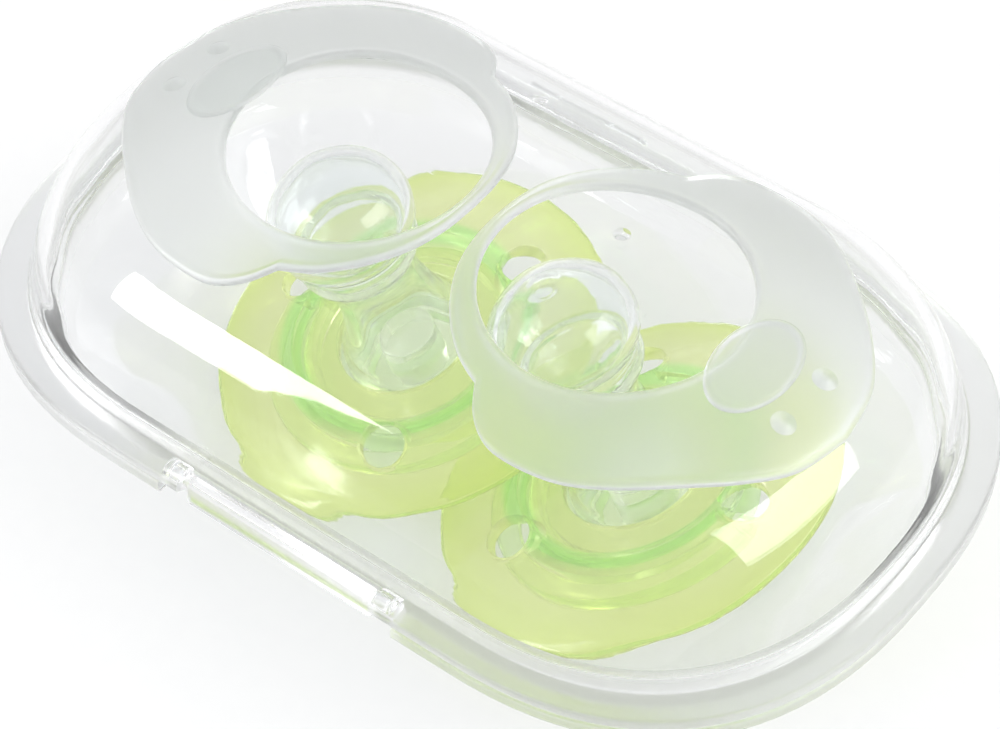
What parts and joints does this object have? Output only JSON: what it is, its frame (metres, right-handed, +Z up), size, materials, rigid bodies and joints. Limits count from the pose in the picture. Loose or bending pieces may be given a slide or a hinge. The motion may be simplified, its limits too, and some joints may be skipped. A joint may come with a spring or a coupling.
{
  "type": "pacifier set in hinged carry case",
  "caption": "Oval clear hinged carry case with a frosted-panel lid, holding round-shield pacifiers with ring handles.",
  "frame": {"origin": "centre of the base's flat underside, which the case stands on", "axes": "+X along the case's long side, +Y towards the hinge, +Z up; the case stands on the base's flat underside"},
  "size_m": [0.108, 0.0719, 0.0423],
  "materials": {
    "clear_plastic": "clear, glossy",
    "frosted_plastic": "translucent, fine matte texture",
    "shield_green": "translucent, glossy",
    "silicone": "clear silicone, glossy",
    "hub_green": "translucent, glossy",
    "handle_green": "translucent, glossy"
  },
  "bodies": {
    "base": {"case_base": "clear_plastic", "hinge_pin_left": "clear_plastic", "hinge_pin_right": "clear_plastic", "shield_left": "shield_green", "teat_left": "silicone", "hub_left": "hub_green", "shield_right": "shield_green", "teat_right": "silicone", "hub_right": "hub_green"},
    "lid": {"case_lid": "clear_plastic", "lid_panel_left": "frosted_plastic", "lid_panel_right": "frosted_plastic"},
    "latch": {"case_latch": "clear_plastic"},
    "ring_left": {"handle_left": "handle_green"},
    "ring_right": {"handle_right": "handle_green"}
  },
  "joints": [
    {"name": "lid_hinge", "type": "hinge", "parent": "base", "child": "lid", "pos_m": [0, 0.036, 0.0219], "axis": [-1, 0, 0], "range_deg": [0, 120]},
    {"name": "latch_pivot", "type": "hinge", "parent": "lid", "child": "latch", "pos_m": [0, -0.033, 0.0227], "axis": [-1, 0, 0], "range_deg": [0, 75]},
    {"name": "handle_left_swing", "type": "hinge", "parent": "base", "child": "ring_left", "pos_m": [-0.01333, 0.00335, 0.00986], "axis": [0.991, -0.036, 0.1287], "range_deg": [0, 8]},
    {"name": "handle_right_swing", "type": "hinge", "parent": "base", "child": "ring_right", "pos_m": [0.01829, 0.00241, 0.00978], "axis": [0.9537, -0.0504, 0.2966], "range_deg": [0, 12]}
  ]
}
